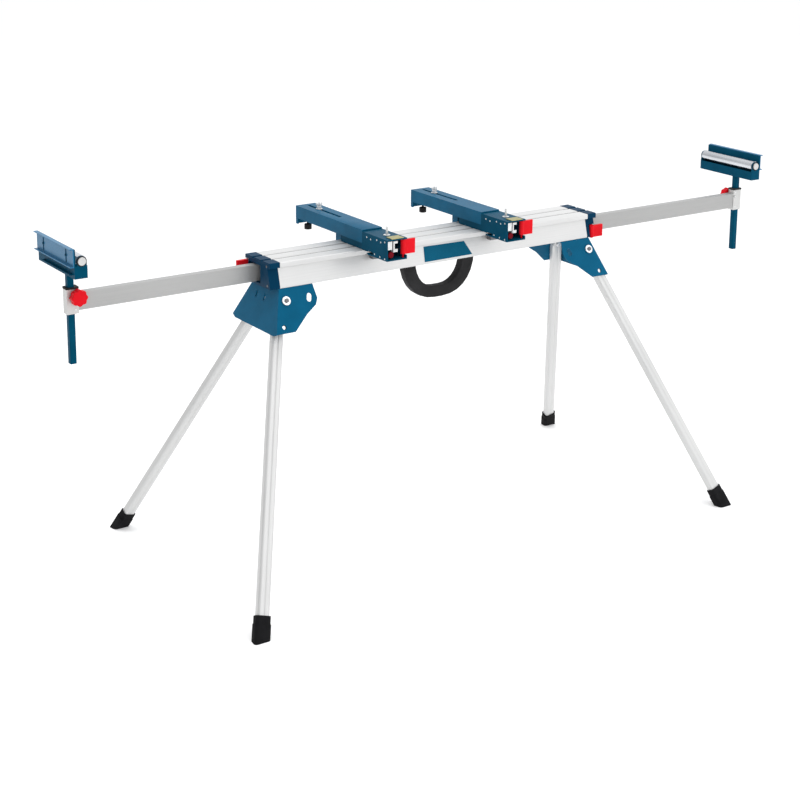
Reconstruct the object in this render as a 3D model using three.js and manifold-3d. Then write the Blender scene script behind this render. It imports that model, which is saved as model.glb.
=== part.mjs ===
// A folding work stand for a mitre saw: an aluminium rail on four folding legs, two clamp-on saw
// brackets, and a pull-out arm with a height-adjustable roller support at each end.
// Millimetres, +Z up, origin on the floor below the middle of the object's box, rail along X.
import * as THREE from "three";
import { mergeVertices } from "three/addons/utils/BufferGeometryUtils.js";
import Module from "manifold-3d";

const wasm = await Module();
wasm.setup();

// Driving dimensions
const GAP = 0.3; // left between touching pieces
const SHEET = 3; // thickness of the folded steel
const RAIL_TOP = 800;
const RAIL_HEIGHT = 66;
const RAIL_HALF_LENGTH = 489;
const RAIL_HALF_WIDTH = 62;
const RAIL_LIP_DROP = 13; // height of the lip that the saw brackets hook under
const RAIL_WAIST = 50; // half width just below the lip
const CAP_LENGTH = 29;
const ARM = { offset: 19, width: 20, bottom: 740, top: 783, length: 1000 };
const REACH = { right: 1095, left: 1005 }; // post centre from the rail's middle
const LEVER = { x: 509, y: -56, end: 546, height: 35, bottom: { right: 731, left: 753 } };
const SOCKET = { bottom: 733, top: 793, inner: 17, outer: 12.5, width: 22 };
const POST = { x: 16, y: 17, radius: 3, bottom: 611, top: 833.7 };
const HEAD = { front: -76, rear: 137, halfWidth: 14, bottom: 834 };
const ROLLER = { radius: 14, z: 875 };
const STOP = { bottom: 862, top: 906, flange: 10 };
const PIVOT_X = 482;
const FOOT_X = 737;
const FOOT_Y = 389;
const EAR_Y = 76.5; // where the pivot bolt's axis leaves the leg bracket's outer face
const EAR_Z = 704.5;
const LEG = { depth: 31, thickness: 22, wall: 2 };
const LOCK_DROP = 67; // from the pivot to the lock button, along the leg
const EAR_GAP = 0.6; // between a leg, or its spacer, and the bracket's inner face
const LEG_SPACER = { right: 0, left: 29 }; // lets the left legs fold inside the right ones
const BRACKET = { halfWidth: 30, rear: 265, front: -178, top: 852, skirt: 818, heel: 803 };
const BRACKET_X = { left: -222, right: 150 };
const HANDLE = { x: 24.5, halfWidth: 114, bottom: 623, inner: 76, innerBottom: 655, thickness: 26 };

const BOX_SHIFT = -(REACH.right - REACH.left) / 2; // centres the object's box on the origin
const RAIL_BOTTOM = RAIL_TOP - RAIL_HEIGHT;
const CAP_END = RAIL_HALF_LENGTH + CAP_LENGTH;
const LEG_DEPTH_HALF = LEG.depth / 2;
const LEG_HALF = LEG.thickness / 2;

// Materials
function finish(color, roughness, metalness) {
  return new THREE.MeshStandardMaterial({ color, roughness, metalness });
}
const MATERIAL = {
  rail: finish(0xe2e3e3, 0.35, 0.9),
  tube: finish(0xc6c8c9, 0.4, 0.9),
  blue: finish(0x145c85, 0.45, 0.1),
  cap: finish(0x07405c, 0.6, 0),
  red: finish(0xd8202a, 0.45, 0),
  black: finish(0x232323, 0.7, 0),
  rubber: finish(0x1c1c1c, 0.9, 0),
  zinc: finish(0xb9b48c, 0.35, 0.9),
  steel: finish(0xd5d6d8, 0.25, 1),
};

// Solids
function solid(geometry) {
  const bare = geometry.index ? geometry.toNonIndexed() : geometry.clone();
  bare.deleteAttribute("normal");
  bare.deleteAttribute("uv");
  const merged = mergeVertices(bare, 1e-4);
  const mesh = new wasm.Mesh({
    numProp: 3,
    vertProperties: new Float32Array(merged.attributes.position.array),
    triVerts: new Uint32Array(merged.index.array),
  });
  return new wasm.Manifold(mesh);
}

function geometryOf(made) {
  const mesh = made.getMesh();
  const geometry = new THREE.BufferGeometry();
  geometry.setAttribute("position", new THREE.BufferAttribute(mesh.vertProperties, 3));
  geometry.setIndex(new THREE.BufferAttribute(mesh.triVerts, 1));
  geometry.computeVertexNormals();
  return geometry;
}

// A box between two corners.
function block(x0, x1, y0, y1, z0, z1) {
  const geometry = new THREE.BoxGeometry(x1 - x0, y1 - y0, z1 - z0);
  geometry.translate((x0 + x1) / 2, (y0 + y1) / 2, (z0 + z1) / 2);
  return solid(geometry);
}

// A rod of one radius between two points.
function rod(from, to, radius, sides = 16) {
  const start = new THREE.Vector3(...from);
  const along = new THREE.Vector3(...to).sub(start);
  const geometry = new THREE.CylinderGeometry(radius, radius, along.length(), sides);
  const turn = new THREE.Quaternion().setFromUnitVectors(
    new THREE.Vector3(0, 1, 0),
    along.clone().normalize(),
  );
  geometry.applyQuaternion(turn);
  geometry.translate(...start.addScaledVector(along, 0.5).toArray());
  return solid(geometry);
}

// An outline, and any holes in it, drawn in the plane of axes u and v and given a thickness along
// their cross product, starting at the given place.
function plate(outline, thickness, u, v, place, holes = [], curveSegments = 3) {
  const shape = outline instanceof THREE.Shape ? outline : new THREE.Shape(pointList(outline));
  for (const hole of holes) shape.holes.push(hole);
  const settings = { depth: thickness, bevelEnabled: false, curveSegments };
  const geometry = new THREE.ExtrudeGeometry(shape, settings);
  const right = new THREE.Vector3(...u);
  const up = new THREE.Vector3(...v);
  const basis = new THREE.Matrix4().makeBasis(right, up, right.clone().cross(up));
  geometry.applyMatrix4(basis.setPosition(...place));
  return solid(geometry);
}

function pointList(points) {
  return points.map(([x, y]) => new THREE.Vector2(x, y));
}

function roundedRectangle(width, height, radius) {
  const x = width / 2 - radius;
  const y = height / 2 - radius;
  const shape = new THREE.Shape();
  shape.absarc(x, y, radius, 0, Math.PI / 2);
  shape.absarc(-x, y, radius, Math.PI / 2, Math.PI);
  shape.absarc(-x, -y, radius, Math.PI, 1.5 * Math.PI);
  shape.absarc(x, -y, radius, 1.5 * Math.PI, 2 * Math.PI);
  shape.closePath();
  return shape;
}

// An upright bar with a rounded rectangular section, centred on x, y.
function uprightBar(width, depth, radius, x, y, z0, z1) {
  const outline = roundedRectangle(width, depth, radius);
  return plate(outline, z1 - z0, [1, 0, 0], [0, 1, 0], [x, y, z0], [], 2);
}

function joined(first, ...others) {
  return others.reduce((sum, other) => sum.add(other), first);
}

function cut(body, ...tools) {
  return tools.reduce((rest, tool) => rest.subtract(tool), body);
}

const stand = new THREE.Group();
stand.position.x = BOX_SHIFT;

function addPiece(parent, name, made, material) {
  const mesh = new THREE.Mesh(geometryOf(made), material);
  mesh.name = name;
  parent.add(mesh);
}

// The rail: a hollow dovetail extrusion with two shallow grooves along its top.
function railOutline(grow = 0) {
  const grooveIn = 17;
  const grooveOut = 26;
  const grooveDepth = 3.5;
  const half = [
    [grooveIn, RAIL_TOP + grow],
    [grooveIn + 1, RAIL_TOP - grooveDepth + grow],
    [grooveOut - 1, RAIL_TOP - grooveDepth + grow],
    [grooveOut, RAIL_TOP + grow],
    [RAIL_HALF_WIDTH - 2, RAIL_TOP + grow],
    [RAIL_HALF_WIDTH, RAIL_TOP - 2 + grow],
    [RAIL_HALF_WIDTH, RAIL_TOP - RAIL_LIP_DROP],
    [RAIL_WAIST, RAIL_TOP - RAIL_LIP_DROP - 2.5],
    [RAIL_HALF_WIDTH, RAIL_BOTTOM + 4],
    [RAIL_HALF_WIDTH, RAIL_BOTTOM],
  ];
  const mirrored = half.map(([y, z]) => [-y, z]).reverse();
  return [...half, ...mirrored];
}

function cavityOutline(shrink = 0) {
  const topHalf = RAIL_WAIST - 4 - shrink;
  const bottomHalf = RAIL_HALF_WIDTH - 5 - shrink;
  const top = RAIL_TOP - 7 - shrink;
  const bottom = RAIL_BOTTOM + 3 + shrink;
  return [
    [topHalf, top],
    [bottomHalf, bottom],
    [-bottomHalf, bottom],
    [-topHalf, top],
  ];
}

// A section in the YZ plane, swept along X from x0 to x1.
function alongX(outline, x0, x1) {
  return plate(outline, x1 - x0, [0, 1, 0], [0, 0, 1], [x0, 0, 0]);
}

const railBody = alongX(railOutline(), -RAIL_HALF_LENGTH, RAIL_HALF_LENGTH);
const railCavity = alongX(cavityOutline(), -RAIL_HALF_LENGTH - 5, RAIL_HALF_LENGTH + 5);
addPiece(stand, "rail", railBody.subtract(railCavity), MATERIAL.rail);

// The carry handle: a black grip under the rail.
function handleOutline(halfWidth, bottom, top) {
  const shape = new THREE.Shape();
  const flatHalf = 12;
  const roundness = 0.6;
  const side = RAIL_BOTTOM - roundness * (RAIL_BOTTOM - bottom);
  const low = flatHalf + roundness * (halfWidth - flatHalf);
  shape.moveTo(-halfWidth, top);
  shape.lineTo(-halfWidth, RAIL_BOTTOM);
  shape.bezierCurveTo(-halfWidth, side, -low, bottom, -flatHalf, bottom);
  shape.lineTo(flatHalf, bottom);
  shape.bezierCurveTo(low, bottom, halfWidth, side, halfWidth, RAIL_BOTTOM);
  shape.lineTo(halfWidth, top);
  shape.closePath();
  return shape;
}

function carryHandle() {
  const top = RAIL_BOTTOM - GAP;
  const outer = handleOutline(HANDLE.halfWidth, HANDLE.bottom, RAIL_BOTTOM + 1);
  const inner = handleOutline(HANDLE.inner, HANDLE.innerBottom, RAIL_BOTTOM + 10);
  const aboveTop = block(-300, 300, -100, 100, top, RAIL_TOP);
  const start = HANDLE.thickness / 2;
  const grip = plate(outer, HANDLE.thickness, [1, 0, 0], [0, 0, 1], [HANDLE.x, start, 0], [], 7);
  const hole = plate(inner, 60, [1, 0, 0], [0, 0, 1], [HANDLE.x, 30, 0], [], 7);
  return cut(grip, hole, aboveTop);
}
addPiece(stand, "carry_handle", carryHandle(), MATERIAL.black);

// One end of the rail, built for the right. The left end is the same one turned half round, so
// that the two arms pass side by side inside the rail.
function buildRailEnd(side) {
  const end = new THREE.Group();
  end.rotation.z = side === "left" ? Math.PI : 0;
  stand.add(end);
  const reach = REACH[side];
  const armY = -ARM.offset;
  const armHalf = ARM.width / 2;

  // End cap: a plug in the rail, a flange of the rail's outline, a recess round the arm, and a
  // pocket for the clamp lever.
  const capStart = RAIL_HALF_LENGTH + GAP;
  const flange = alongX(railOutline(0.8), capStart, CAP_END);
  const plug = alongX(cavityOutline(0.4), RAIL_HALF_LENGTH - 12, capStart + 1);
  const armHole = block(
    400, 600, armY - armHalf - 0.4, armY + armHalf + 0.4, ARM.bottom - 0.4, ARM.top + 0.4,
  );
  const recess = block(CAP_END - 22, CAP_END + 1, -44, 14, RAIL_BOTTOM + 6, RAIL_TOP - 14);
  const leverBottom = LEVER.bottom[side];
  const leverTop = leverBottom + LEVER.height;
  const leverPocket = block(LEVER.x - 10, CAP_END + 1, -70, -47, leverBottom - 2, leverTop + 2);
  const cap = cut(flange.add(plug), armHole, recess, leverPocket);
  addPiece(end, `end_cap_${side}`, cap, MATERIAL.cap);

  // Clamp lever of the arm: a hub on an upright pin and a flat paddle.
  const leverRod = (radius, extra, sides) =>
    rod([LEVER.x, LEVER.y, leverBottom - extra], [LEVER.x, LEVER.y, leverTop + extra], radius, sides);
  const leverHub = leverRod(6.5, 0, 16);
  const leverPin = leverRod(2.5, 2 - GAP, 12);
  const paddleLength = LEVER.end - LEVER.x;
  const paddle = uprightBar(
    paddleLength, 9, 3, LEVER.x + paddleLength / 2, LEVER.y - 1, leverBottom + 1, leverTop - 1,
  );
  addPiece(end, `cap_lever_${side}`, joined(leverHub, paddle, leverPin), MATERIAL.red);

  // Arm: a rectangular tube, open at both ends.
  const armOuter = reach - SOCKET.inner - GAP;
  const armInner = armOuter - ARM.length;
  const wall = 1.8;
  const armBody = block(
    armInner, armOuter, armY - armHalf, armY + armHalf, ARM.bottom, ARM.top,
  );
  const armBore = block(
    armInner - 5, armOuter + 5,
    armY - armHalf + wall, armY + armHalf - wall, ARM.bottom + wall, ARM.top - wall,
  );
  addPiece(end, `arm_tube_${side}`, armBody.subtract(armBore), MATERIAL.tube);

  // Socket on the arm's end, with a pinch screw beside the post's bore.
  const bore = (z0, z1) =>
    uprightBar(POST.x + 0.8, POST.y + 0.8, POST.radius, reach, armY, z0, z1);
  const screwX = reach - 12.6;
  const screwZ = 774;
  const socketHalf = SOCKET.width / 2;
  const socketBody = block(
    reach - SOCKET.inner, reach + SOCKET.outer, armY - socketHalf, armY + socketHalf,
    SOCKET.bottom, SOCKET.top,
  );
  const screwHole = rod([screwX, armY - 20, screwZ], [screwX, armY + 20, screwZ], 2.9, 12);
  const socket = cut(socketBody, bore(700, 850), screwHole);
  addPiece(end, `arm_socket_${side}`, socket, MATERIAL.tube);

  // Collar: a thin plastic guide on top of the socket.
  const collarBody = uprightBar(
    SOCKET.inner + SOCKET.outer + 3, SOCKET.width + 4, 4,
    reach - (SOCKET.inner - SOCKET.outer) / 2, armY, SOCKET.top + GAP, SOCKET.top + 4.5,
  );
  addPiece(end, `post_collar_${side}`, collarBody.subtract(bore(700, 850)), MATERIAL.cap);

  // Clamp knob behind the socket: eight lobes round a hub, on the pinch screw.
  const knobStart = armY + socketHalf + 2.5;
  const knobEnd = knobStart + 17;
  const lobes = new THREE.Shape();
  const lobeCount = 8;
  const steps = lobeCount * 4;
  for (let i = 0; i < steps; i += 1) {
    const angle = (i / steps) * 2 * Math.PI;
    const radius = 19.4 + 1.6 * Math.cos(lobeCount * angle);
    const x = radius * Math.cos(angle);
    const y = radius * Math.sin(angle);
    if (i === 0) lobes.moveTo(x, y);
    else lobes.lineTo(x, y);
  }
  lobes.closePath();
  const knobX = screwX;
  const knobBody = plate(
    lobes, knobEnd - knobStart, [1, 0, 0], [0, 0, 1], [knobX, knobEnd, screwZ],
  );
  const screw = rod([screwX, armY - socketHalf - 3, screwZ], [screwX, knobStart + 2, screwZ], 2.5, 12);
  addPiece(end, `post_knob_${side}`, knobBody.add(screw), MATERIAL.red);

  // Post: a rounded tube, open below.
  const postBody = uprightBar(POST.x, POST.y, POST.radius, reach, armY, POST.bottom, POST.top);
  const postBore = uprightBar(
    POST.x - 3.2, POST.y - 3.2, 1.6, reach, armY, POST.bottom - 5, POST.top - 3,
  );
  addPiece(end, `post_${side}`, postBody.subtract(postBore), MATERIAL.blue);

  buildHead(end, side, reach, armY);
}

// Roller head: both heads reach further to the rear than to the front, so the half-turned left
// end swaps the two.
function buildHead(end, side, reach, armY) {
  const low = side === "right" ? HEAD.front : -HEAD.rear;
  const high = side === "right" ? HEAD.rear : -HEAD.front;
  const y0 = armY + low;
  const y1 = armY + high;
  const half = HEAD.halfWidth;

  // Cradle: a base, a low inner wall, a high outer wall with a bottom flange, and an ear at each
  // end that rises round the axle.
  const base = block(reach - half, reach + half, y0, y1, HEAD.bottom, HEAD.bottom + SHEET);
  const innerWall = block(reach - half, reach - half + 2, y0, y1, HEAD.bottom, HEAD.bottom + 25);
  const outerWall = block(reach + half + 1, reach + half + 4, y0, y1, HEAD.bottom, ROLLER.z + 29);
  const foot = block(reach + half - 1, reach + half + 4, y0, y1, HEAD.bottom, HEAD.bottom + SHEET);
  const [shelfStart, shelfEnd] = side === "right" ? [y0 + 12, y1 - 37] : [y0 + 37, y1 - 12];
  const shelf = block(
    reach + half + 2, reach + half + STOP.flange + 2, shelfStart, shelfEnd,
    HEAD.bottom + 8, HEAD.bottom + 10.5,
  );
  const ear = (y) => {
    const disc = rod([reach, y, ROLLER.z], [reach, y + SHEET, ROLLER.z], 12.5, 20);
    const stem = block(reach - 12.5, reach + 12.5, y, y + SHEET, HEAD.bottom, ROLLER.z);
    const tie = block(reach - half, reach + half + 4, y, y + SHEET, HEAD.bottom, HEAD.bottom + 30);
    return joined(disc, stem, tie);
  };
  const studY = [y0 + 40, y1 - 40];
  const studZ = 884;
  const studs = studY.map((y) =>
    rod([reach + half + 2, y, studZ], [reach + half + 9, y, studZ], 3, 12),
  );
  const axleHole = rod([reach, y0 - 5, ROLLER.z], [reach, y1 + 5, ROLLER.z], 4.4, 16);
  const cradle = joined(
    base, innerWall, outerWall, foot, shelf, ear(y0), ear(y1 - SHEET), ...studs,
  ).subtract(axleHole);
  addPiece(end, `roller_cradle_${side}`, cradle, MATERIAL.blue);

  // Axle: a pin with a round button outside each ear.
  const pin = rod([reach, y0 - 1, ROLLER.z], [reach, y1 + 1, ROLLER.z], 4, 16);
  const button = (y, outward) =>
    rod([reach, y + outward * GAP, ROLLER.z], [reach, y + outward * 3.5, ROLLER.z], 9.8, 20);
  addPiece(end, `roller_axle_${side}`, joined(pin, button(y0, -1), button(y1, 1)), MATERIAL.steel);

  // Roller: a tube on the axle.
  const rollerBody = rod(
    [reach, y0 + SHEET + 1, ROLLER.z], [reach, y1 - SHEET - 1, ROLLER.z], ROLLER.radius, 28,
  );
  const rollerBore = rod([reach, y0 - 5, ROLLER.z], [reach, y1 + 5, ROLLER.z], 4.5, 16);
  addPiece(end, `roller_${side}`, rollerBody.subtract(rollerBore), MATERIAL.steel);

  // Stop plate: a channel that faces outward and slides up and down on the two studs.
  const webX = reach + half + 4.4;
  const web = block(webX, webX + 2.2, y0, y1, STOP.bottom, STOP.top);
  const flangeAt = (z) => block(webX, webX + STOP.flange, y0, y1, z, z + 2.2);
  const slots = studY.map((y) => block(webX - 3, webX + 5, y - 3.5, y + 3.5, 867, 901));
  const stop = cut(joined(web, flangeAt(STOP.bottom), flangeAt(STOP.top - 2.2)), ...slots);
  addPiece(end, `stop_plate_${side}`, stop, MATERIAL.blue);
}
buildRailEnd("right");
buildRailEnd("left");

// The frame of one leg: its origin on the pivot, z up along the leg, y square to the plane that
// the leg swings in. Away is the direction of y that points out of the stand.
function legFrame(side, face) {
  const endSign = side === "right" ? 1 : -1;
  const away = face === "rear" ? 1 : -1;
  const depth = LEG_HALF + LEG_SPACER[side] + EAR_GAP + SHEET;
  const lean = Math.atan2(FOOT_Y - EAR_Y, EAR_Z);
  const tilt = lean + Math.asin(depth / Math.hypot(FOOT_Y - EAR_Y, EAR_Z));
  const pivot = new THREE.Vector3(
    endSign * PIVOT_X,
    away * (EAR_Y - depth * Math.cos(tilt)),
    EAR_Z - depth * Math.sin(tilt),
  );
  const foot = new THREE.Vector3(endSign * FOOT_X, away * FOOT_Y, 0);
  const length = pivot.distanceTo(foot);
  const up = pivot.clone().sub(foot).normalize();
  const square = new THREE.Vector3(-1, 0, 0).cross(up).normalize();
  const across = square.clone().cross(up);
  const matrix = new THREE.Matrix4().makeBasis(across, square, up).setPosition(pivot);
  return { endSign, away, depth, tilt, pivot, length, matrix };
}

// Turns a solid made in a leg's frame into the stand's.
function placed(made, matrix) {
  return solid(geometryOf(made).applyMatrix4(matrix));
}

// The leg's section: a rounded bar with a shallow groove down the middle of each broad face.
function legSection(grow, grooved) {
  const halfX = LEG_DEPTH_HALF + grow;
  const halfY = LEG_HALF + grow;
  const corner = 6;
  const grooveHalf = 2.5;
  const grooveDepth = grooved ? 1.2 : 0;
  const shape = new THREE.Shape();
  shape.absarc(halfX - corner, halfY - corner, corner, 0, Math.PI / 2);
  if (grooved) {
    shape.lineTo(grooveHalf, halfY);
    shape.lineTo(0, halfY - grooveDepth);
    shape.lineTo(-grooveHalf, halfY);
  }
  shape.absarc(-halfX + corner, halfY - corner, corner, Math.PI / 2, Math.PI);
  shape.absarc(-halfX + corner, -halfY + corner, corner, Math.PI, 1.5 * Math.PI);
  if (grooved) {
    shape.lineTo(-grooveHalf, -halfY);
    shape.lineTo(0, -halfY + grooveDepth);
    shape.lineTo(grooveHalf, -halfY);
  }
  shape.absarc(halfX - corner, -halfY + corner, corner, 1.5 * Math.PI, 2 * Math.PI);
  shape.closePath();
  return shape;
}

function legBar(section, z0, z1) {
  return plate(section, z1 - z0, [1, 0, 0], [0, 1, 0], [0, 0, z0], [], 2);
}

function buildLeg(side, face) {
  const frame = legFrame(side, face);
  const { away, depth, matrix, length } = frame;
  const name = `${side}_${face}`;
  const leg = new THREE.Group();
  leg.applyMatrix4(matrix);
  stand.add(leg);
  // A rod square to the swing plane, between two distances out from the leg's middle.
  const outward = (from, to, radius, z, sides) =>
    rod([0, away * from, z], [0, away * to, z], radius, sides);
  const spacerEnd = LEG_HALF + LEG_SPACER[side];

  // Leg: a tube with a round top, closed round the pivot and open at the foot.
  const footTop = -length + 56;
  const tubeEnd = -length + 20;
  const bar = legBar(legSection(0, true), tubeEnd, 0);
  const roundTop = rod([0, -LEG_HALF, 0], [0, LEG_HALF, 0], LEG_DEPTH_HALF, 20);
  const hollow = block(
    -LEG_DEPTH_HALF + LEG.wall + 1, LEG_DEPTH_HALF - LEG.wall - 1,
    -LEG_HALF + LEG.wall, LEG_HALF - LEG.wall, tubeEnd - 5, -22,
  );
  const pivotHole = outward(-30, 30, 5.3, 0, 16);
  const lockHole = outward(0, 30, 5.3, -LOCK_DROP, 16);
  const tube = cut(bar.add(roundTop), hollow, pivotHole, lockHole);
  addPiece(leg, `leg_${name}`, tube, MATERIAL.tube);

  // Foot: a rubber shoe that steps out towards the floor and is cut level there.
  const shoe = shoeOutside(footTop);
  const socket = legBar(legSection(GAP, false), tubeEnd - GAP, footTop + 5);
  const floor = placed(block(-2000, 2000, -2000, 2000, -200, 0), matrix.clone().invert());
  addPiece(leg, `foot_${name}`, cut(shoe, socket, floor), MATERIAL.rubber);

  // Lock button: a flanged pin that springs out through the leg's face into the bracket.
  const buttonTip = spacerEnd + EAR_GAP - GAP;
  const button = joined(
    outward(3, buttonTip, 5, -LOCK_DROP, 16), outward(3, 5, 7, -LOCK_DROP, 16),
  );
  addPiece(leg, `lock_button_${name}`, button, MATERIAL.steel);

  // Lock housing: carries the button out to the bracket on the legs that fold inside.
  if (LEG_SPACER[side]) {
    const sleeve = outward(LEG_HALF + GAP, spacerEnd, 12, -LOCK_DROP, 20);
    const bore = outward(0, spacerEnd + 5, 5.3, -LOCK_DROP, 16);
    addPiece(leg, `lock_housing_${name}`, sleeve.subtract(bore), MATERIAL.black);
  }

  // Pivot bolt: head outside the bracket, nut inside the leg, and a shoulder where there is a spacer.
  const shank = outward(-17, depth + GAP + 1, 5, 0, 16);
  const head = outward(depth + GAP, depth + 4.5, 11.5, 0, 20);
  const nut = outward(-17.5, -LEG_HALF - GAP, 9, 0, 6);
  const pieces = [head, nut];
  if (LEG_SPACER[side]) pieces.push(outward(LEG_HALF + GAP, spacerEnd + EAR_GAP - GAP, 9, 0, 16));
  addPiece(leg, `pivot_bolt_${name}`, joined(shank, ...pieces), MATERIAL.steel);
}

// The outside of a foot, from below the floor to its top, in a leg's frame.
function shoeOutside(top) {
  const ring = (width, thickness, from, to) => {
    const outline = roundedRectangle(width, thickness, 8);
    return plate(outline, to - from, [1, 0, 0], [0, 1, 0], [0, 0, from]);
  };
  return ring(39, 26, top - 20, top).add(ring(42, 27, top - 78, top - 19));
}

for (const side of ["right", "left"]) {
  for (const face of ["front", "rear"]) buildLeg(side, face);
}

// Leg bracket: one folded sheet under each end of the rail, with a top, an end that slopes with
// the legs, and two cheeks that the legs pivot against.
function buildLegBracket(side) {
  const { endSign, tilt } = legFrame(side, "rear");
  const top = RAIL_BOTTOM - 0.5;
  const bottom = 634;
  const slope = (FOOT_X - PIVOT_X) / EAR_Z;
  const endTop = 493;
  const endAt = (z) => endTop + slope * (top - z);
  const edgeY = (z) => EAR_Y + (EAR_Z - z) * Math.tan(tilt);
  const down = (z) => (top - z) / Math.cos(tilt);

  const cheekOutline = [
    [397, 0],
    [endTop, 0],
    [endAt(bottom), down(bottom)],
    [475, down(bottom)],
    [432, down(668)],
    [401, down(686)],
    [393, down(700)],
  ];
  const topPlate = block(397, endTop, -edgeY(top), edgeY(top), top - SHEET, top);
  const fall = Math.hypot(1, slope);
  const endOutline = [
    [-edgeY(top), 0],
    [edgeY(top), 0],
    [edgeY(bottom), (top - bottom) * fall],
    [edgeY(bottom) - 16, (top - bottom + 6) * fall],
    [-edgeY(bottom) + 16, (top - bottom + 6) * fall],
    [-edgeY(bottom), (top - bottom) * fall],
  ];
  const endDown = [slope / fall, 0, -1 / fall];
  const endPlate = plate(endOutline, SHEET, [0, 1, 0], endDown, [endTop, 0, top]);
  const slots = [-31, 9].map((y) => block(endTop - 20, endTop + 30, y - 3, y + 3, 694, 710));

  let body = topPlate.add(cut(endPlate, ...slots));
  // Both cheeks have their outer faces on the sloping edges; the sheet's thickness runs along +y.
  for (const away of [1, -1]) {
    const cheekDown = [0, away * Math.sin(tilt), -Math.cos(tilt)];
    const inset = away > 0 ? SHEET : 0;
    const start = [0, away * edgeY(top) - inset * Math.cos(tilt), top - inset * Math.sin(tilt)];
    body = body.add(plate(cheekOutline, SHEET, [1, 0, 0], cheekDown, start));
  }
  // The left bracket is the same sheet facing the other way.
  if (endSign < 0) {
    const turned = geometryOf(body).rotateZ(Math.PI);
    body = solid(turned);
  }
  for (const face of ["front", "rear"]) {
    const { away, matrix } = legFrame(side, face);
    const hole = (radius, x, z) =>
      placed(rod([x, away * 5, z], [x, away * 60, z], radius, 16), matrix);
    const fold = Math.PI / 2 + Math.asin((FOOT_X - PIVOT_X) / legFrame(side, face).length);
    const lockX = -endSign * LOCK_DROP * Math.sin(fold);
    const lockZ = -LOCK_DROP * Math.cos(fold);
    const foldedHole = hole(7, lockX, lockZ - 4.5).add(hole(7, lockX, lockZ + 4.5)).hull();
    body = cut(body, hole(5.5, 0, 0), hole(6, 0, -LOCK_DROP), foldedHole);
  }
  addPiece(stand, `leg_bracket_${side}`, body, MATERIAL.blue);
}
buildLegBracket("right");
buildLegBracket("left");

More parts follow.
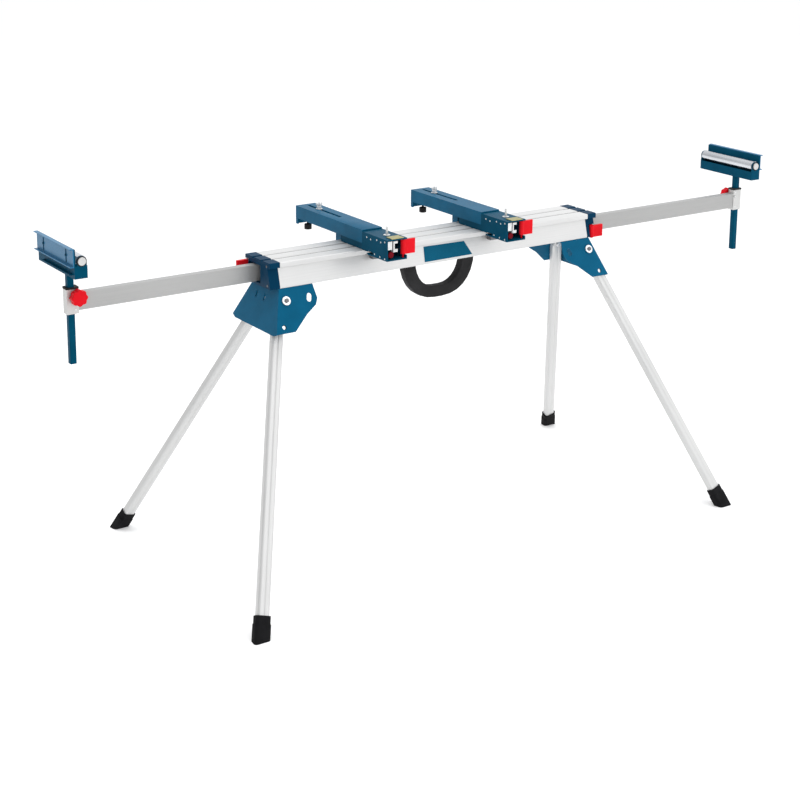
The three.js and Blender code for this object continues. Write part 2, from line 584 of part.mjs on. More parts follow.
// Saw bracket: a channel across the rail that hooks under its rear lip, with a clamp housing in
// front whose jaw hooks under the front lip.
function buildSawBracket(side) {
  const group = new THREE.Group();
  group.position.x = BRACKET_X[side];
  stand.add(group);
  const { halfWidth: half, rear, front, top, skirt, heel } = BRACKET;
  const inside = half - SHEET;
  const split = -64;
  const lipBottom = RAIL_TOP - RAIL_LIP_DROP - 3;

  // Channel, with a slot for the rear fixing bolt and a welded hook behind the rail.
  const roof = block(-half, half, split, rear, top - SHEET, top);
  const walls = [-half, inside].map((x) => block(x, x + SHEET, split, rear, skirt, top));
  const heelPlate = block(-half, half, rear - SHEET, rear, heel, top);
  const heelTabs = [-half, inside].map((x) => block(x, x + SHEET, rear - 10, rear, heel, top));
  const hook = block(-14, 14, 63, 88, lipBottom - 10, top - 1);
  const toe = block(-14, 14, 56, 65, lipBottom - 10, lipBottom);
  const slot = plate(
    roundedRectangle(9, 165, 4.4), 20, [1, 0, 0], [0, 1, 0], [0, 167.5, top - 10],
  );
  const knobX = -12;
  const knobHole = rod([knobX, 232, skirt - 5], [knobX, 232, top - SHEET - 1], 3.5, 12);
  const knobShelf = block(-inside - 1, inside + 1, 222, 242, skirt, skirt + SHEET);
  const channel = cut(
    joined(roof, ...walls, heelPlate, ...heelTabs, hook, toe, knobShelf), slot, knobHole,
  );
  addPiece(group, `saw_bracket_${side}`, channel, MATERIAL.blue);

  // Clamp housing: a box open to the front, whose rear tongues sit inside the channel on the rail.
  const roofTop = top - 3.5;
  const floorTop = 797;
  const lid = block(-half, half, front, split - GAP, roofTop - SHEET, roofTop);
  const cheeks = [-half, inside].map((x) =>
    joined(
      block(x, x + SHEET, front, split - GAP, skirt - 14, roofTop),
      block(x, x + SHEET, front, -114, floorTop - SHEET, skirt + 1),
    ),
  );
  const floor = block(-half, half, front, -86, floorTop - SHEET, floorTop);
  const tongueX = inside - GAP - SHEET;
  const tongues = [-tongueX - SHEET, tongueX].map((x) =>
    block(x, x + SHEET, split - 20, 40, RAIL_TOP + GAP, roofTop - 1),
  );
  const gussets = [-inside - 1, tongueX].map((x) =>
    block(x, x + SHEET + 1.6, split - 16, split - GAP, RAIL_TOP + GAP, roofTop - 1),
  );
  const crossTie = block(-tongueX - 1, tongueX + 1, -54, -50, RAIL_TOP + GAP, 815);
  const leverNotch = block(12, half + 5, front - 5, front + 22, 804, roofTop - SHEET - 1);
  const stemHole = rod([0, -132, roofTop - 10], [0, -132, top + 5], 3.6, 16);
  const housing = cut(
    joined(lid, ...cheeks, floor, ...gussets, ...tongues, crossTie),
    leverNotch, stemHole,
  );
  addPiece(group, `clamp_housing_${side}`, housing, MATERIAL.blue);

  // Clamp plate: a bright strip on the front edge of the housing's roof.
  const strip = block(-16, 20, front, front + 26, roofTop + GAP, roofTop + GAP + 2);
  addPiece(group, `clamp_plate_${side}`, strip, MATERIAL.zinc);

  // Jaw: an upright plate with a toe under the rail's front lip and a drawbar to the lever.
  const jawBack = block(-4, 18, -74, -64.5, lipBottom - 10, 840);
  const jawToe = block(-4, 18, -66, -56, lipBottom - 10, lipBottom);
  const drawbar = block(-4, 5, -150, -72, 812, 822);
  addPiece(group, `clamp_jaw_${side}`, joined(jawBack, jawToe, drawbar), MATERIAL.zinc);

  // Lever: a red paddle on an upright pin at the front of the housing.
  const leverX = 24;
  const leverY = front + 9;
  const hub = rod([leverX, leverY, 806], [leverX, leverY, 843], 6.5);
  const paddle = uprightBar(34, 6, 2.5, leverX + 17, leverY - 2, 806, 843);
  const pin = rod([leverX, leverY, floorTop + GAP], [leverX, leverY, roofTop - SHEET - GAP], 2.5, 12);
  addPiece(group, `clamp_lever_${side}`, joined(hub, paddle, pin), MATERIAL.red);

  // Rear fixing bolt: head and stud through the slot, with a washer above.
  const boltY = 194;
  const boltHead = rod([0, boltY, 836], [0, boltY, top - SHEET - GAP], 8, 6);
  const stud = rod([0, boltY, 838], [0, boltY, top + 18], 3.4, 16);
  const washer = rod([0, boltY, top + GAP], [0, boltY, top + 2], 9, 16);
  const nut = rod([0, boltY, top + 1.5], [0, boltY, top + 7], 6.5, 6);
  addPiece(group, `rear_bolt_${side}`, joined(boltHead, stud, washer, nut), MATERIAL.steel);

  // Front fixing bolt: a stud that stands out of the housing's roof.
  const frontStud = rod([0, -132, 830], [0, -132, top + 19], 3.2, 16);
  const frontHead = rod([0, -132, 834], [0, -132, roofTop - SHEET - GAP], 8, 6);
  const frontWasher = rod([0, -132, roofTop + GAP], [0, -132, roofTop + 2], 9, 16);
  addPiece(
    group, `front_bolt_${side}`, joined(frontStud, frontHead, frontWasher), MATERIAL.steel,
  );

  // Levelling knob: a round foot on a screw under the channel's rear end.
  const knobScrew = rod([knobX, 232, 800], [knobX, 232, 832], 3, 12);
  const knobDisc = rod([knobX, 232, 792], [knobX, 232, 806], 10, 20);
  addPiece(group, `levelling_knob_${side}`, knobScrew.add(knobDisc), MATERIAL.black);
}
buildSawBracket("left");
buildSawBracket("right");

export default stand;
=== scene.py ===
"""Studio picture of a folding mitre saw stand: finishes, small fittings, floor, light and camera."""

import math

import bmesh
import bpy
from mathutils import Matrix, Vector


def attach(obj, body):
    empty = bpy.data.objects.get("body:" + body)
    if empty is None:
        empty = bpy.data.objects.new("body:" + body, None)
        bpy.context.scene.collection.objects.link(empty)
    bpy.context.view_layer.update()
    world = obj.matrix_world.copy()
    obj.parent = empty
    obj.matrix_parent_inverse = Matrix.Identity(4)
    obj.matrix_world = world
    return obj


MM = 0.001
SIDES = {"right": 1, "left": -1}
FACES = {"front": -1, "rear": 1}

# Places in the CAD part, in mm
SHIFT = -45.0  # X of the rail's middle, as the part is centred on its whole length
REACH = {"right": 1095.0, "left": 1005.0}  # the roller heads, from the rail's middle
BRACKET_X = {"right": 150.0 + SHIFT, "left": -222.0 + SHIFT}
BRACKET_FRONT = -178.0
BRACKET_HALF_WIDTH = 30
REAR_BOLT_Y = 194
ARM_Y = -19.0  # the right arm; the left one is at the opposite Y
CAP_X = 518  # the end caps' outer faces, from the rail's middle
CAP_SCREWS = ((-46, 790), (46, 790), (50, 742), (-24, 742))  # Y and Z on the right end cap
HEAD_FRONT, HEAD_DEPTH = 76, 213  # from an arm's middle to its roller head's front, and the depth
ROLLER_Z = 875
PIVOT_X, PIVOT_Y, PIVOT_Z = 482, 76.5, 704.5  # where a leg's pivot bolt leaves its bracket
PIVOT_TILT = {"right": 25.006, "left": 27.163}  # degrees above the level
LEG_TOP = {"right": (63.27, 698.33), "left": (37.71, 684.6)}  # Y and Z, where a leg turns
LEG_SPREAD = 255  # from there to its foot, along X
FOOT_Y = 389
HOUSING_RIVETS = (
    (-86, 838), (-104, 836), (-132, 840), (-150, 838),
    (-122, 802), (-146, 800), (-168, 799), (-168, 842),
)  # Y and Z on both sides of a clamp housing

# In metres, as the meshes are
KNOB_FACE_Y = -0.0057  # on one side of this, a post knob's faces belong to its pinch screw
GROOVE_FLOOR = 0.7975

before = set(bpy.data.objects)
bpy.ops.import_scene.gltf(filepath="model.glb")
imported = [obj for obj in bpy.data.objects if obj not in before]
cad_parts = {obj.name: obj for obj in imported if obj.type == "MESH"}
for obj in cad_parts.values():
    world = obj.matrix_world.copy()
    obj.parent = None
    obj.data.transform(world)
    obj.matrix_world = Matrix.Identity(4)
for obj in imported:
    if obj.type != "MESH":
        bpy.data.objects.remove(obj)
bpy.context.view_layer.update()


# Finishes
def new_material(name):
    material = bpy.data.materials.new(name)
    material.use_nodes = True
    tree = material.node_tree
    return material, tree, tree.nodes["Principled BSDF"]


def link(tree, source, target):
    tree.links.new(source, target)


def coordinates(tree, scale, along=None):
    """Object coordinates, turned so that `along` is the third axis, then scaled."""
    place = tree.nodes.new("ShaderNodeTexCoord").outputs["Object"]
    if along is not None:
        turn = tree.nodes.new("ShaderNodeMapping")
        turn.inputs["Rotation"].default_value = (
            Vector(along).normalized().rotation_difference(Vector((0, 0, 1))).to_euler()
        )
        link(tree, place, turn.inputs["Vector"])
        place = turn.outputs["Vector"]
    stretch = tree.nodes.new("ShaderNodeMapping")
    stretch.inputs["Scale"].default_value = scale
    link(tree, place, stretch.inputs["Vector"])
    return stretch.outputs["Vector"]


def noise(tree, vector, scale=1.0, detail=3.0, roughness=0.55):
    node = tree.nodes.new("ShaderNodeTexNoise")
    node.inputs["Scale"].default_value = scale
    node.inputs["Detail"].default_value = detail
    node.inputs["Roughness"].default_value = roughness
    link(tree, vector, node.inputs["Vector"])
    return node.outputs["Fac"]


def ramp(tree, value, stops):
    node = tree.nodes.new("ShaderNodeValToRGB")
    elements = node.color_ramp.elements
    for element, (position, colour) in zip(elements, (stops[0], stops[-1])):
        element.position = position
        element.color = (*colour, 1)
    for position, colour in stops[1:-1]:
        elements.new(position).color = (*colour, 1)
    link(tree, value, node.inputs["Fac"])
    return node.outputs["Color"]


def spread(tree, value, low, high, start=0.3, end=0.7):
    """Stretches the values from `start` to `end` over `low` to `high`."""
    node = tree.nodes.new("ShaderNodeMapRange")
    node.inputs["From Min"].default_value = start
    node.inputs["From Max"].default_value = end
    node.inputs["To Min"].default_value = low
    node.inputs["To Max"].default_value = high
    link(tree, value, node.inputs["Value"])
    return node.outputs["Result"]


def calculate(tree, operation, *values):
    """A math node; each value is a number or the output that feeds it."""
    node = tree.nodes.new("ShaderNodeMath")
    node.operation = operation
    for socket, value in zip(node.inputs, values):
        if isinstance(value, (int, float)):
            socket.default_value = value
        else:
            link(tree, value, socket)
    return node.outputs["Value"]


def axes_of(tree, kind):
    axes = tree.nodes.new("ShaderNodeSeparateXYZ")
    link(tree, tree.nodes.new("ShaderNodeTexCoord").outputs[kind], axes.inputs["Vector"])
    return axes.outputs


def bump(tree, shader, value, strength, distance):
    node = tree.nodes.new("ShaderNodeBump")
    node.inputs["Strength"].default_value = strength
    node.inputs["Distance"].default_value = distance
    link(tree, value, node.inputs["Height"])
    link(tree, node.outputs["Normal"], shader.inputs["Normal"])


def shades(colour, low, high):
    return [tuple(min(1.0, c * k) for c in colour) for k in (low, high)]


def drawn_metal(name, colour, along, metallic=0.75, roughness=(0.3, 0.44), contrast=0.1):
    """Metal with long fine streaks in one direction and a faint large-scale unevenness."""
    material, tree, shader = new_material(name)
    streaks = noise(tree, coordinates(tree, (900, 900, 7), along), detail=4)
    cloud = noise(tree, coordinates(tree, (9, 9, 3), along), detail=2)
    mixed = calculate(tree, "MULTIPLY_ADD", cloud, 0.45, calculate(tree, "MULTIPLY", streaks, 0.55))
    dark, light = shades(colour, 1 - contrast, 1 + contrast)
    tint = ramp(tree, mixed, [(0.35, dark), (0.65, light)])
    link(tree, tint, shader.inputs["Base Color"])
    shader.inputs["Metallic"].default_value = metallic
    link(tree, spread(tree, streaks, *roughness), shader.inputs["Roughness"])
    bump(tree, shader, streaks, 0.18, 0.0002)
    return material


def paint_shade_in_grooves(material, floor_level, darkness, fade=0.0012, half_width=0.030):
    """Paints shade into the sunken strips along the rail's top, whose floors are at `floor_level`."""
    tree = material.node_tree
    shader = tree.nodes["Principled BSDF"]
    tint = shader.inputs["Base Color"].links[0].from_socket
    axes = axes_of(tree, "Object")
    sunken = spread(tree, axes["Z"], 1.0, 0.0, floor_level, floor_level + fade)
    middle = calculate(tree, "COMPARE", axes["Y"], 0.0, half_width)
    mix = tree.nodes.new("ShaderNodeMix")
    mix.data_type = "RGBA"
    colours = [socket for socket in mix.inputs if socket.type == "RGBA"]
    link(tree, calculate(tree, "MULTIPLY", sunken, middle), mix.inputs["Factor"])
    link(tree, tint, colours[0])
    colours[1].default_value = (darkness, darkness, darkness, 1)
    mixed = next(socket for socket in mix.outputs if socket.type == "RGBA")
    link(tree, mixed, shader.inputs["Base Color"])


def coated(
    name, colour, roughness=(0.34, 0.46), grain=1100, depth=0.00012, contrast=0.09, gloss=0.12
):
    """Powder coat or moulded plastic: a fine grain over a faint change of tone.

    `gloss` is the strength of its highlights, which take on its colour.
    """
    material, tree, shader = new_material(name)
    vector = coordinates(tree, (1, 1, 1))
    fine = noise(tree, vector, grain, 2)
    broad = noise(tree, vector, 22, 4)
    dark, light = shades(colour, 1 - contrast, 1 + contrast)
    link(tree, ramp(tree, broad, [(0.32, dark), (0.68, light)]), shader.inputs["Base Color"])
    link(tree, spread(tree, fine, *roughness), shader.inputs["Roughness"])
    shader.inputs["Specular IOR Level"].default_value = gloss
    highlight = (min(1.0, 0.1 + 3.2 * part) for part in colour)
    shader.inputs["Specular Tint"].default_value = (*highlight, 1)
    bump(tree, shader, fine, 0.35, depth)
    return material


def plated(name, colour, roughness=(0.25, 0.4)):
    """Plated or turned small fittings: bright metal with a slight mottle."""
    material, tree, shader = new_material(name)
    vector = coordinates(tree, (1, 1, 1))
    mottle = noise(tree, vector, 160, 4)
    dark, light = shades(colour, 0.86, 1.1)
    link(tree, ramp(tree, mottle, [(0.35, dark), (0.65, light)]), shader.inputs["Base Color"])
    link(tree, spread(tree, mottle, *roughness), shader.inputs["Roughness"])
    shader.inputs["Metallic"].default_value = 0.85
    bump(tree, shader, mottle, 0.2, 0.0001)
    return material


LEG_DIRECTION = {
    f"{side}_{face}": (sign * LEG_SPREAD, away * (FOOT_Y - LEG_TOP[side][0]), -LEG_TOP[side][1])
    for side, sign in SIDES.items()
    for face, away in FACES.items()
}

FINISH = {
    "rail": drawn_metal("rail_aluminium", (0.66, 0.66, 0.655), (1, 0, 0), 0.35, (0.3, 0.46), 0.06),
    "arm": drawn_metal("arm_aluminium", (0.41, 0.41, 0.405), (1, 0, 0), 0.5, (0.36, 0.5), 0.07),
    "socket": drawn_metal("socket_aluminium", (0.60, 0.60, 0.59), (0, 0, 1), 0.5, (0.36, 0.5), 0.1),
    "roller": drawn_metal("roller_steel", (0.62, 0.64, 0.67), (0, 1, 0), 0.95, (0.12, 0.28), 0.2),
    "blue": coated("blue_powder_coat", (0.0035, 0.095, 0.185)),
    # A darker copy of the blue powder coat: its extra darkness is painted shade
    "painted_shade_blue": coated("blue_powder_coat_painted_shade", (0.0012, 0.060, 0.112), gloss=0.05),
    # A paler copy of the blue powder coat: its extra paleness is a painted highlight, besides the
    # real highlights of its strong gloss
    "painted_highlight_blue": coated("blue_powder_coat_painted_highlight", (0.030, 0.155, 0.29), (0.26, 0.38), gloss=0.5),
    "cap": coated("dark_blue_plastic", (0.001, 0.034, 0.078), (0.42, 0.55), 700),
    "red": coated("red_plastic", (0.70, 0.010, 0.018), (0.3, 0.42), 800),
    "dark_red": coated("dark_red_plastic", (0.16, 0.006, 0.012), (0.4, 0.5), 800),
    "black": coated("black_plastic", (0.026, 0.026, 0.027), (0.5, 0.66), 520, 0.0003, 0.2),
    "rubber": coated("black_rubber", (0.012, 0.012, 0.013), (0.66, 0.85), 420, 0.0004, 0.25),
    "steel": plated("bright_steel", (0.82, 0.82, 0.82)),
    "zinc": plated("zinc_plate", (0.74, 0.75, 0.75)),
    "yellow_zinc": plated("yellow_zinc_plate", (0.42, 0.39, 0.18), (0.3, 0.46)),
    "dark_steel": plated("dark_steel", (0.16, 0.16, 0.17), (0.35, 0.5)),
    "label": coated("label_blue", (0.0045, 0.092, 0.165), (0.22, 0.3), 260, 0.00003, 0.06),
}
# Painted shade on the floors of the rail's top grooves
paint_shade_in_grooves(FINISH["rail"], GROOVE_FLOOR, darkness=0.28)
LEG_FINISH = {
    name: drawn_metal(f"leg_aluminium_{name}", (0.61, 0.61, 0.605), along, 0.45, (0.36, 0.52), 0.07)
    for name, along in LEG_DIRECTION.items()
}


def finish_of(node):
    """The finish of a CAD node, by how its name starts."""
    if node.startswith("leg_bracket"):
        return FINISH["blue"]
    if node.startswith("leg_"):
        return LEG_FINISH[node[4:]]
    # Posts, roller cradles and clamp housings take the blue coat darkened with painted shade
    # Stop plates take the blue coat paled with a painted highlight
    for start, name in (
        ("rail", "rail"), ("carry_handle", "black"), ("end_cap", "cap"), ("cap_lever", "red"),
        ("arm_tube", "arm"), ("arm_socket", "socket"), ("post_collar", "black"),
        ("post_knob", "red"), ("post_", "painted_shade_blue"), ("roller_cradle", "painted_shade_blue"),
        ("roller_axle", "socket"), ("roller_", "roller"), ("stop_plate", "painted_highlight_blue"),
        ("saw_bracket", "blue"), ("clamp_housing", "painted_shade_blue"), ("clamp_plate", "yellow_zinc"),
        ("clamp_jaw", "dark_steel"), ("clamp_lever", "red"), ("rear_bolt", "zinc"),
        ("front_bolt", "zinc"), ("levelling_knob", "black"), ("foot_", "rubber"),
        ("lock_button", "steel"), ("lock_housing", "black"), ("pivot_bolt", "steel"),
    ):
        if node.startswith(start):
            return FINISH[name]
    raise ValueError(f"no finish for {node}")


# Edges: every piece gets small rounded edges and smooth curves
SMOOTH_BELOW = math.radians(35)
BEVEL_ABOVE = math.radians(40)
FLAT_BELOW = math.radians(0.6)


def smooth_group():
    """Geometry nodes that smooth every edge flatter than SMOOTH_BELOW and keep the others sharp."""
    group = bpy.data.node_groups.new("smooth_curves", "GeometryNodeTree")
    group.interface.new_socket("Geometry", in_out="INPUT", socket_type="NodeSocketGeometry")
    group.interface.new_socket("Geometry", in_out="OUTPUT", socket_type="NodeSocketGeometry")
    entry = group.nodes.new("NodeGroupInput")
    leave = group.nodes.new("NodeGroupOutput")
    faces = group.nodes.new("GeometryNodeSetShadeSmooth")
    edges = group.nodes.new("GeometryNodeSetShadeSmooth")
    edges.domain = "EDGE"
    edges.inputs["Shade Smooth"].default_value = False
    angle = group.nodes.new("GeometryNodeInputMeshEdgeAngle")
    sharp = calculate(group, "GREATER_THAN", angle.outputs["Unsigned Angle"], SMOOTH_BELOW)
    group.links.new(sharp, edges.inputs["Selection"])
    group.links.new(entry.outputs[0], faces.inputs["Geometry"])
    group.links.new(faces.outputs["Geometry"], edges.inputs["Geometry"])
    group.links.new(edges.outputs["Geometry"], leave.inputs[0])
    return group


SMOOTH = smooth_group()


def soften(piece, width, segments=2):
    """Rounds the sharp edges by `width` mm, then smooths curves without rounding the flats."""
    weld = piece.modifiers.new("weld", "WELD")
    weld.merge_threshold = 1e-5
    if width:
        flatten = piece.modifiers.new("flatten", "DECIMATE")
        flatten.decimate_type = "DISSOLVE"
        flatten.angle_limit = FLAT_BELOW
        bevel = piece.modifiers.new("bevel", "BEVEL")
        bevel.width = width * MM
        bevel.segments = segments
        bevel.limit_method = "ANGLE"
        bevel.angle_limit = BEVEL_ABOVE
    curves = piece.modifiers.new("curves", "NODES")
    curves.node_group = SMOOTH
    if width:
        normals = piece.modifiers.new("normals", "WEIGHTED_NORMAL")
        normals.keep_sharp = True


EDGE_WIDTH = {  # mm, by how a node's name starts
    "leg_bracket": 1.4, "saw_bracket": 1.0, "clamp_housing": 0.8, "carry_handle": 4.0,
    "end_cap": 1.2, "cap_lever": 1.2, "clamp_lever": 0.8, "post_knob": 1.6, "foot_": 1.5,
    "rail": 0.4, "arm_tube": 0.8, "arm_socket": 0.8, "stop_plate": 0.6, "roller_cradle": 0.6,
    "roller_": 0.6, "pivot_bolt": 0.7, "levelling_knob": 1.0, "leg_": 0.5,
}
for node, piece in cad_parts.items():
    piece.data.materials.clear()
    piece.data.materials.append(finish_of(node))
    width = next((w for start, w in EDGE_WIDTH.items() if node.startswith(start)), 0.4)
    soften(piece, width)

# The pinch screw that each post knob turns is steel, not red
for side, sign in SIDES.items():
    knob_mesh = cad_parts[f"post_knob_{side}"].data
    knob_mesh.materials.append(FINISH["zinc"])
    for face in knob_mesh.polygons:
        if sign * face.center.y < KNOB_FACE_Y:
            face.material_index = 1


# Small fittings
def add_piece(name, mesh, body, finish, width=0.0):
    mesh.materials.append(finish)
    piece = bpy.data.objects.new(name, mesh)
    bpy.context.scene.collection.objects.link(piece)
    soften(piece, width)
    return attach(piece, body)


def into_mesh(name, shape):
    mesh = bpy.data.meshes.new(name)
    shape.to_mesh(mesh)
    shape.free()
    return mesh


def placed_mesh(shape, centre, axis, spin=0.0):
    """The shape's mesh, drawn around the Z axis in mm, stood at `centre` along `axis`."""
    bmesh.ops.recalc_face_normals(shape, faces=shape.faces)
    mesh = into_mesh("fitting", shape)
    turn = Vector(axis).normalized().to_track_quat("Z", "Y").to_matrix().to_4x4()
    mesh.transform(Matrix.Rotation(spin, 4, "Z"))
    mesh.transform(Matrix.Translation(Vector(centre) * MM) @ turn @ Matrix.Scale(MM, 4))
    return mesh


def polygon(sides, radius):
    turns = [2 * math.pi * i / sides for i in range(sides)]
    return [(radius * math.cos(t), radius * math.sin(t)) for t in turns]


def close_between(shape, low, high):
    """Fills two rows of corners and the strip between them."""
    shape.faces.new(list(reversed(low)))
    shape.faces.new(high)
    for i, corner in enumerate(low):
        k = (i + 1) % len(low)
        shape.faces.new([corner, low[k], high[k], high[i]])


def extruded(outline, bottom, top):
    shape = bmesh.new()
    low = [shape.verts.new((x, y, bottom)) for x, y in outline]
    high = [shape.verts.new((x, y, top)) for x, y in outline]
    close_between(shape, low, high)
    return shape


def turned(profile, centre, axis, sides=24):
    """A closed body of revolution: profile is (radius, height) in mm, axis to axis."""
    shape = bmesh.new()
    rings = []
    for radius, height in profile:
        if radius == 0:
            rings.append([shape.verts.new((0, 0, height))])
        else:
            rings.append([shape.verts.new((x, y, height)) for x, y in polygon(sides, radius)])
    for low, high in zip(rings, rings[1:]):
        for i in range(sides):
            k = (i + 1) % sides
            corners = [low[i % len(low)], low[k % len(low)], high[k % len(high)], high[i % len(high)]]
            shape.faces.new(list(dict.fromkeys(corners)))
    return placed_mesh(shape, centre, axis)


def prism(outline, depth, centre, axis, spin=0.0):
    """A plate with that outline, in mm, standing `depth` mm along the axis."""
    return placed_mesh(extruded(outline, 0, depth), centre, axis, spin)


def box_mesh(low, high):
    (x0, y0, z0), (x1, y1, z1) = low, high
    mesh = into_mesh("fitting", extruded([(x0, y0), (x1, y0), (x1, y1), (x0, y1)], z0, z1))
    mesh.transform(Matrix.Scale(MM, 4))
    return mesh


def dome(radius, height):
    return [(0, 0), (radius, 0), (radius, height * 0.35), (radius * 0.8, height * 0.8), (0, height)]


def rivet(name, centre, axis, body, radius=2.6, height=1.2, finish="zinc"):
    add_piece(name, turned(dome(radius, height), centre, axis, 16), body, FINISH[finish])


# Blank label on the rail's sloping front side
LABEL_CORNERS = [(-55, 779), (74, 777.5), (95, 741), (-57, 740)]  # X from the rail's middle, and Z
SLOPE_TOP_Y, SLOPE_TOP_Z = -50, 784.5
SLOPE_RUN, SLOPE_FALL = 12, 46.5


def label_mesh():
    slope = math.atan2(SLOPE_RUN, SLOPE_FALL)
    shape = bmesh.new()
    rows = []
    for lift in (0.1, 0.7):
        row = []
        for x, z in LABEL_CORNERS:
            y = SLOPE_TOP_Y - SLOPE_RUN * (SLOPE_TOP_Z - z) / SLOPE_FALL
            spot = (x + SHIFT, y - lift * math.cos(slope), z + lift * math.sin(slope))
            row.append(shape.verts.new(spot))
        rows.append(row)
    close_between(shape, *rows)
    bmesh.ops.recalc_face_normals(shape, faces=shape.faces)
    mesh = into_mesh("rail_label", shape)
    mesh.transform(Matrix.Scale(MM, 4))
    return mesh


add_piece("rail_label", label_mesh(), "frame", FINISH["label"])

# Screws of the end caps, rivets of the arm sockets and rings at the rollers' ends
for side, sign in SIDES.items():
    reach = sign * REACH[side] + SHIFT
    arm_y = sign * ARM_Y
    for i, (y, z) in enumerate(CAP_SCREWS):
        spot = (sign * CAP_X + SHIFT, sign * y, z)
        rivet(f"cap_screw_{side}_{i}", spot, (sign, 0, 0), "frame", 3.2, 1.4, "dark_steel")
    for face, away in FACES.items():
        for i, z in enumerate((743, 786)):
            spot = (reach - sign * 9, arm_y + away * 11, z)
            rivet(f"socket_rivet_{side}_{face}_{i}", spot, (0, away, 0), f"arm_{side}", 2.4, 1.0)
    head_front = arm_y - HEAD_FRONT
    for face, y in (("front", head_front), ("rear", head_front + HEAD_DEPTH)):
        profile = [(10.2, 0.1), (12.4, 0.1), (12.4, 1.0), (10.2, 1.0), (10.2, 0.1)]
        ring = turned(profile, (reach, y, ROLLER_Z), (0, FACES[face], 0), 28)
        add_piece(f"roller_ring_{side}_{face}", ring, f"post_{side}", FINISH["black"])

# Hexagons in the leg pivots' heads
for side, sign in SIDES.items():
    tilt = math.radians(PIVOT_TILT[side])
    for face, away in FACES.items():
        axis = Vector((0, away * math.cos(tilt), math.sin(tilt)))
        pivot = Vector((sign * PIVOT_X + SHIFT, away * PIVOT_Y, PIVOT_Z))
        hexagon = prism(polygon(6, 6.0), 3.2, pivot + axis * 4.6, axis, 0.3)
        add_piece(f"pivot_hex_{side}_{face}", hexagon, "frame", FINISH["dark_steel"], 0.5)

# Fittings of the saw brackets
for side, x in BRACKET_X.items():
    body = f"saw_bracket_{side}"
    for i, (y, z) in enumerate(HOUSING_RIVETS):
        for face in (-1, 1):
            name = f"housing_rivet_{side}_{'far' if face > 0 else 'near'}_{i}"
            rivet(name, (x + face * BRACKET_HALF_WIDTH, y, z), (face, 0, 0), body, 2.2, 0.9)
    front = BRACKET_FRONT
    plates = {
        "window_plate": ((x - 25, front + 4, 822), (x - 12, front + 6, 843), "zinc"),
        "c_plate_back": ((x - 3, front + 12, 812), (x + 1, front + 14, 840), "zinc"),
        "c_plate_top": ((x + 1.2, front + 12, 834), (x + 10, front + 14, 840), "zinc"),
        "c_plate_low": ((x + 1.2, front + 12, 812), (x + 10, front + 14, 820), "zinc"),
        "dark_panel": ((x - 26, front + 22, 798), (x - 5.5, front + 24, 844.5), "black"),
    }
    for name, (low, high, finish) in plates.items():
        add_piece(f"{name}_{side}", box_mesh(low, high), body, FINISH[finish], 0.3)
    profile = [(0, 0), (3.4, 0), (3.4, 44), (0, 44)]
    pin = turned(profile, (x - 8, front + 13, 799), (0, 0, 1), 16)
    add_piece(f"clamp_pin_{side}", pin, body, FINISH["dark_steel"])
    profile = [(0, 0), (7.5, 0), (8.2, 1.5), (8.2, 5), (7, 6.5), (3, 7), (0, 7)]
    knob = turned(profile, (x - 14, front + 11, 808), (0, -1, 0), 20)
    add_piece(f"clamp_knob_{side}", knob, body, FINISH["dark_red"])
    for face in (-1, 1):
        half = [(3, 0), (8.5, 2), (10, 8), (8, 11), (5, 7), (3, 6)]
        outline = [(face * u, v) for u, v in half]
        wing = prism(outline, 2.0, (x, REAR_BOLT_Y + 1.0, 859.2), (0, -1, 0))
        name = f"wing_{side}_{'right' if face > 0 else 'left'}"
        add_piece(name, wing, f"rear_bolt_{side}", FINISH["zinc"], 0.5)


# Floor, light and camera
FLOOR_REACH, FLOOR_CELLS, FLOOR_Z = 30.0, 12, -0.0005


def floor_mesh():
    shape = bmesh.new()
    marks = [FLOOR_REACH * (2 * i / FLOOR_CELLS - 1) for i in range(FLOOR_CELLS + 1)]
    grid = [[shape.verts.new((x, y, FLOOR_Z)) for y in marks] for x in marks]
    for i in range(FLOOR_CELLS):
        for j in range(FLOOR_CELLS):
            shape.faces.new([grid[i][j], grid[i + 1][j], grid[i + 1][j + 1], grid[i][j + 1]])
    return into_mesh("floor", shape)


floor = bpy.data.objects.new("floor", floor_mesh())
bpy.context.scene.collection.objects.link(floor)
floor.data.materials.append(coated("floor_paper", (0.93, 0.93, 0.93), (0.7, 0.85), 90, 0.0001, 0.006))
floor_shader = floor.data.materials[0].node_tree.nodes["Principled BSDF"]
floor_shader.inputs["Emission Color"].default_value = (1, 1, 1, 1)
floor_shader.inputs["Emission Strength"].default_value = 0.16

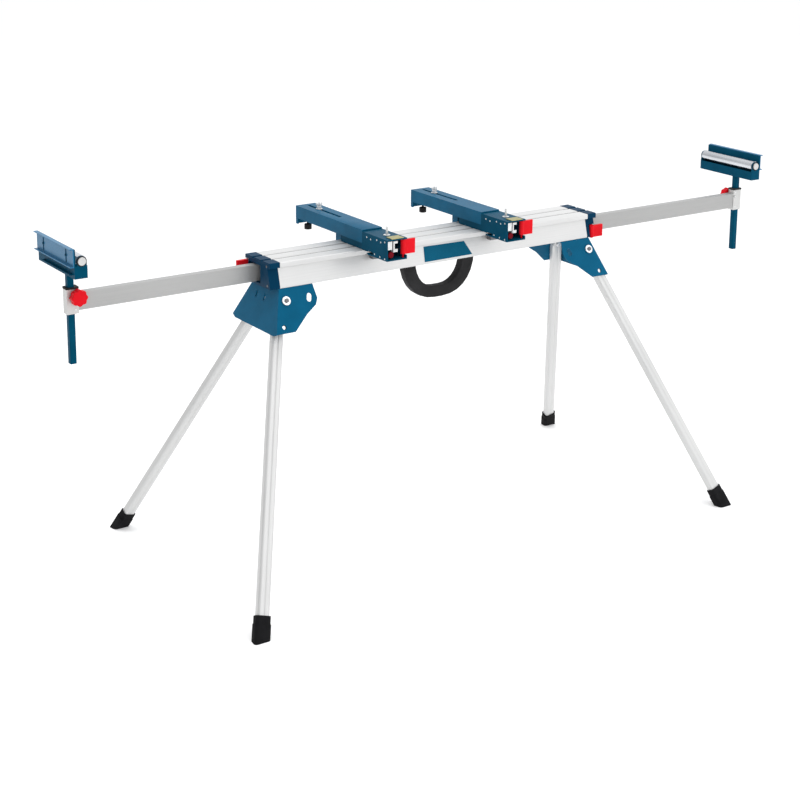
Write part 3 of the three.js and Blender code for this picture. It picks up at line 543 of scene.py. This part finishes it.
# A white room, a little dimmer towards the left end of the stand
world = bpy.data.worlds.new("studio")
bpy.context.scene.world = world
world.use_nodes = True
room = world.node_tree
background = room.nodes["Background"]
background.inputs["Color"].default_value = (0.985, 0.99, 1.0, 1)
brightness = spread(room, axes_of(room, "Generated")["X"], 0.62, 1.0, start=-1.0, end=0.1)
link(room, brightness, background.inputs["Strength"])


def softbox(name, place, target, size, power):
    light = bpy.data.lights.new(name, "AREA")
    light.shape = "RECTANGLE"
    light.size, light.size_y = size
    light.energy = power
    lamp = bpy.data.objects.new(name, light)
    lamp.location = place
    lamp.rotation_euler = (Vector(target) - Vector(place)).to_track_quat("-Z", "Y").to_euler()
    bpy.context.scene.collection.objects.link(lamp)


softbox("key", (2.2, -4.6, 3.0), (0, 0, 0.6), (4.0, 3.0), 45)
softbox("top", (0.2, 0.4, 4.8), (0, 0, 0.7), (4.0, 3.0), 90)

# The camera comes close to the view of the level camera that was fitted to the photograph
YAW, PITCH, ROLL = 0.5919, 0.2355, 0.0070
CAMERA_PLACE = (-2.5327, -3.5602, 1.8637)
CAMERA_SHIFT = -0.22
FOCAL_PX, PICTURE_PX, SENSOR_MM = 1696.934, 800, 36
ahead = Vector((math.sin(YAW) * math.cos(PITCH), math.cos(YAW) * math.cos(PITCH), -math.sin(PITCH)))
level = Vector((math.cos(YAW), -math.sin(YAW), 0))
above = level.cross(ahead)
right = level * math.cos(ROLL) + above * math.sin(ROLL)
up = above * math.cos(ROLL) - level * math.sin(ROLL)
camera = bpy.data.objects.new("camera", bpy.data.cameras.new("camera"))
camera.matrix_world = Matrix.Translation(CAMERA_PLACE) @ Matrix(
    (
        (right.x, up.x, -ahead.x, 0),
        (right.y, up.y, -ahead.y, 0),
        (right.z, up.z, -ahead.z, 0),
        (0, 0, 0, 1),
    )
)
camera.data.sensor_width = SENSOR_MM
camera.data.lens = FOCAL_PX / PICTURE_PX * SENSOR_MM
camera.data.shift_y = CAMERA_SHIFT
bpy.context.scene.collection.objects.link(camera)
bpy.context.scene.camera = camera
bpy.context.scene.view_settings.view_transform = "Standard"

bpy.context.view_layer.update()
